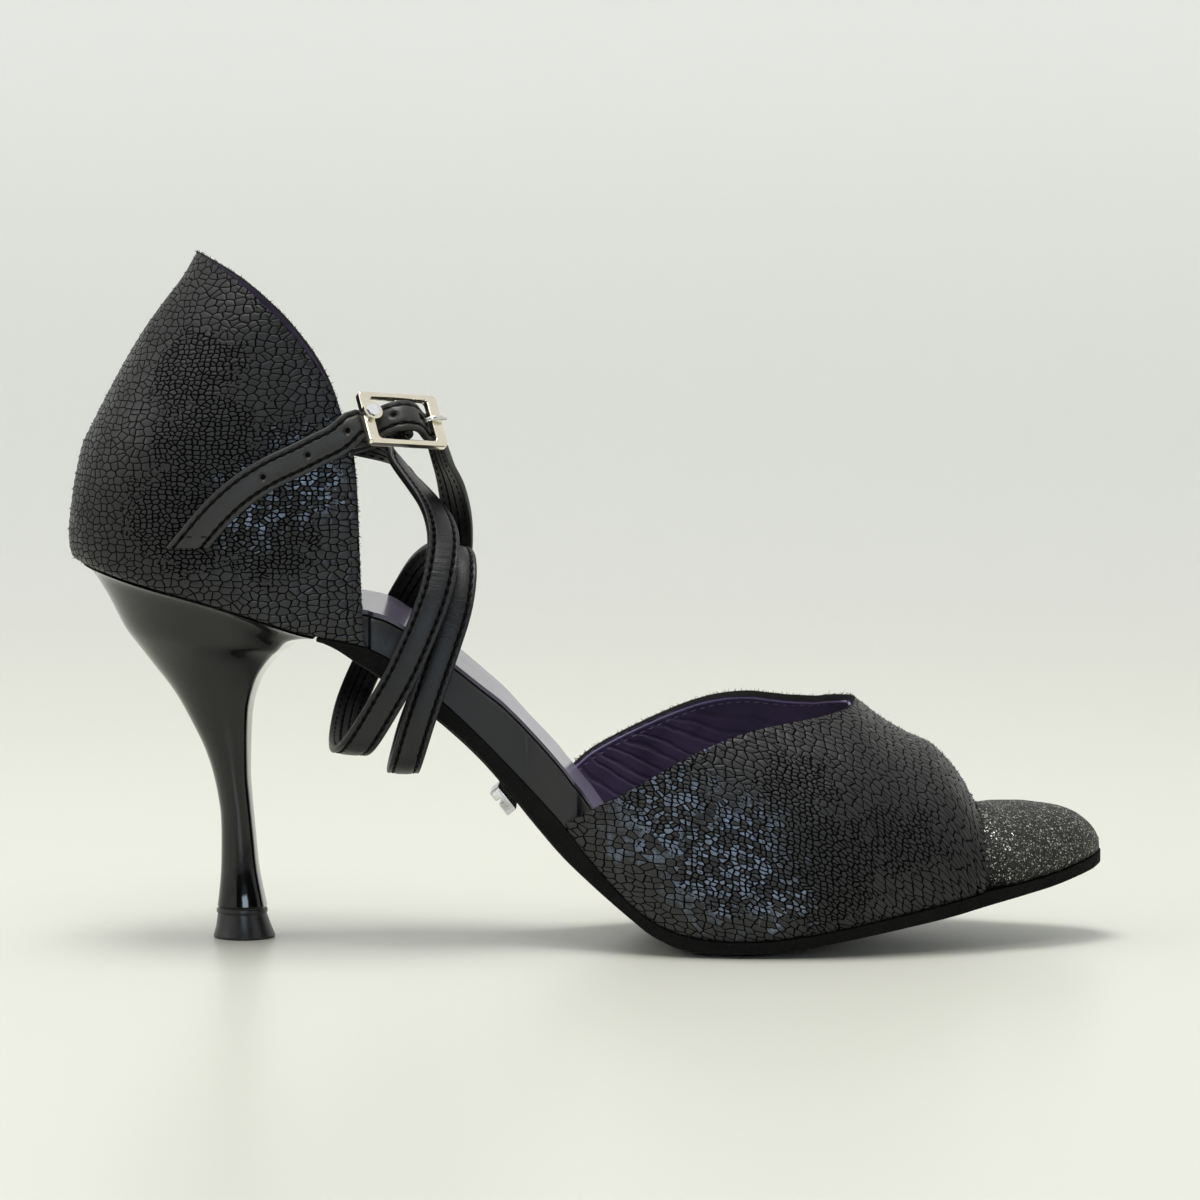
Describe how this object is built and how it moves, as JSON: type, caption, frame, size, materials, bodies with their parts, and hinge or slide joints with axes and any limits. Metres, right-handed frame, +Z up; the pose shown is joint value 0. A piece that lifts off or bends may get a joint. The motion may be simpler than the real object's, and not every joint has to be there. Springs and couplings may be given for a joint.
{
  "type": "ballroom dance shoe",
  "caption": "Closed-back ballroom dance shoe with a high stiletto heel, open waist, peep-toe vamp over a low toe cap, and a long buckled strap wrapped round the arch.",
  "frame": {"origin": "middle of the shoe's outline in plan, on the floor that it stands on", "axes": "+X towards the toe, +Y towards the inner side of the foot, +Z up"},
  "size_m": [0.2324, 0.0758, 0.1543],
  "materials": {
    "upper_suede": "cracked foil on black suede",
    "glitter": "rough glitter",
    "strap_leather": "smooth, semi-matte",
    "lining": "soft sheen",
    "board": "smooth, matte",
    "sole_suede": "raised nap",
    "heel_gloss": "high gloss",
    "tip_rubber": "semi-matte",
    "gold": "polished pale gold",
    "stone": "faceted, clear",
    "plate_metal": "satin"
  },
  "bodies": {
    "root": {"outsole": "sole_suede", "insole_board": "board", "sock_lining": "lining", "vamp": "upper_suede", "toe_cap": "glitter", "counter": "upper_suede", "heel": "heel_gloss", "heel_tip": "tip_rubber", "long_strap": "strap_leather", "buckle_strap": "strap_leather", "buckle_frame": "gold", "buckle_prong": "gold", "crystal": "stone", "badge_plate": "plate_metal"}
  },
  "joints": []
}
